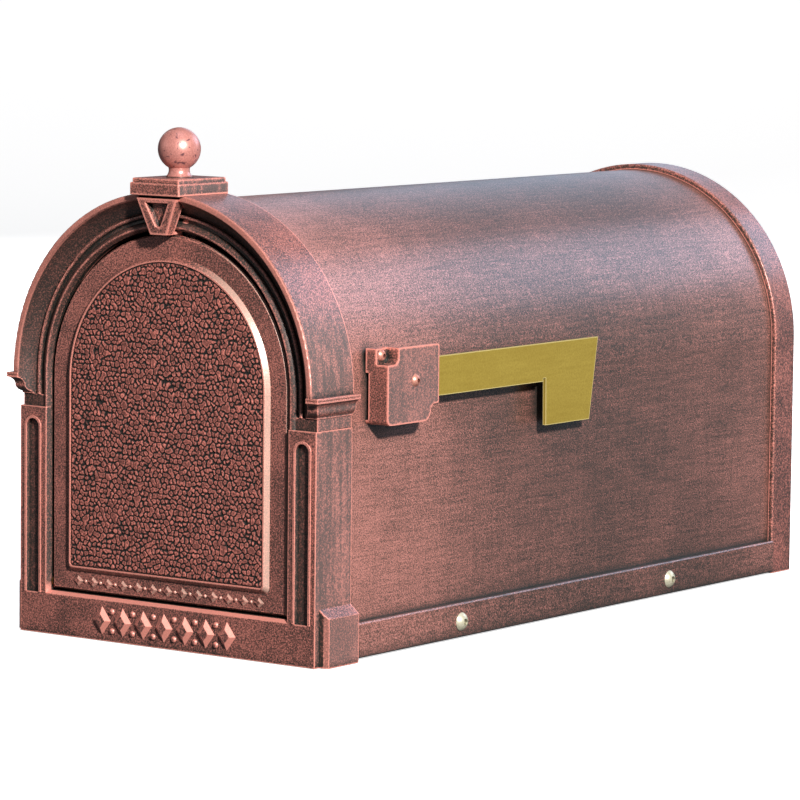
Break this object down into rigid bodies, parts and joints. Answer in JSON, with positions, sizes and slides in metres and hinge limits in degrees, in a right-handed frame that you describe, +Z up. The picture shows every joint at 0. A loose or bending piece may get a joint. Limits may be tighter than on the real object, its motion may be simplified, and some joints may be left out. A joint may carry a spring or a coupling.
{
  "type": "post-mount mailbox",
  "caption": "Dome-top post-mount mailbox with a moulded front frame, drop-down door with a keystone pull, ball finial and a side signal flag.",
  "frame": {"origin": "centre of the post bolt pattern, on the underside at mid-length", "axes": "+Z up out of the dome, +Y from the door to the back, +X to the side that carries the flag"},
  "size_m": [0.2417, 0.5294, 0.3038],
  "materials": {
    "copper_casting": "satin",
    "copper_sheet": "satin",
    "copper_screw": "satin",
    "flag_gold": "satin",
    "nickel_screw": "satin",
    "mill_sheet": "matte",
    "zinc_hardware": "satin",
    "pin_steel": "satin",
    "bush_brass": "satin",
    "catch_plastic": "matte",
    "magnet_steel": "satin",
    "nylon": "matte"
  },
  "bodies": {
    "box": {"front_frame": "copper_casting", "cap_plate": "copper_casting", "finial": "copper_casting", "rear_band": "copper_casting", "flag_housing": "copper_casting", "body_shell": "copper_sheet", "rear_panel": "copper_sheet", "side_rail_left": "copper_sheet", "side_rail_right": "copper_sheet", "flag_mount_screws": "copper_screw", "flag_pivot_screw": "copper_screw", "rail_screws": "nickel_screw", "floor_pan": "mill_sheet", "base_plate": "mill_sheet", "plate_rivets": "zinc_hardware", "post_nuts": "zinc_hardware", "rail_nuts": "zinc_hardware", "frame_screws": "zinc_hardware", "band_screws": "zinc_hardware", "panel_screws": "zinc_hardware", "finial_washer": "zinc_hardware", "finial_nut": "zinc_hardware", "catch_bracket": "zinc_hardware", "bracket_screws": "zinc_hardware", "catch_screws": "zinc_hardware", "flag_mount_nuts": "zinc_hardware", "flag_spacer": "zinc_hardware", "flag_pivot_washer": "zinc_hardware", "flag_pivot_nut": "zinc_hardware", "hinge_pin_left": "pin_steel", "hinge_pin_right": "pin_steel", "catch_body": "catch_plastic", "catch_magnet": "magnet_steel", "flag_friction_washer": "nylon"},
    "door": {"door_leaf": "copper_casting", "hinge_bush_left": "bush_brass", "hinge_bush_right": "bush_brass", "keystone_pull": "copper_casting", "pull_screws": "zinc_hardware", "strike_plate": "zinc_hardware", "strike_rivets": "zinc_hardware"},
    "flag": {"flag_plate": "flag_gold"}
  },
  "joints": [
    {"name": "door_hinge", "type": "hinge", "parent": "box", "child": "door", "pos_m": [0, -0.25285, 0.031], "axis": [1, 0, 0], "range_deg": [0, 90]},
    {"name": "flag_pivot", "type": "hinge", "parent": "box", "child": "flag", "pos_m": [0.1165, -0.18145, 0.1601], "axis": [1, 0, 0], "range_deg": [0, 90]}
  ]
}
